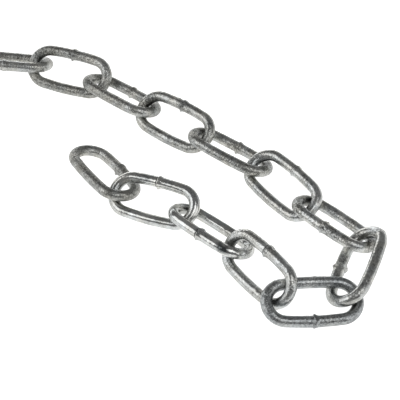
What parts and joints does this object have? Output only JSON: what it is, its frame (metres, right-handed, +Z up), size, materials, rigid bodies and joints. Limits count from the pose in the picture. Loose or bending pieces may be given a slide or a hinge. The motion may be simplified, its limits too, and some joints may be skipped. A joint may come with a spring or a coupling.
{
  "type": "length of steel chain",
  "caption": "Length of galvanised long-link steel chain lying on the floor, with one end folded back beside itself.",
  "frame": {"origin": "on the floor, under the middle of the laid chain's box", "axes": "+X along the long run, from its far end towards the fold; +Y away from the viewer of the picture; +Z up"},
  "size_m": [0.6866, 0.2353, 0.024],
  "materials": {
    "zinc_steel": "dull, slightly lumpy hot-dip zinc"
  },
  "bodies": {
    "root": {"link_01": "zinc_steel", "link_02": "zinc_steel", "link_03": "zinc_steel", "link_04": "zinc_steel", "link_05": "zinc_steel", "link_06": "zinc_steel", "link_07": "zinc_steel", "link_08": "zinc_steel", "link_09": "zinc_steel", "link_10": "zinc_steel", "link_11": "zinc_steel", "link_12": "zinc_steel", "link_13": "zinc_steel", "link_14": "zinc_steel", "link_15": "zinc_steel", "link_16": "zinc_steel", "link_17": "zinc_steel", "link_18": "zinc_steel", "link_19": "zinc_steel", "link_20": "zinc_steel", "link_21": "zinc_steel", "link_22": "zinc_steel", "link_23": "zinc_steel", "link_24": "zinc_steel"}
  },
  "joints": []
}
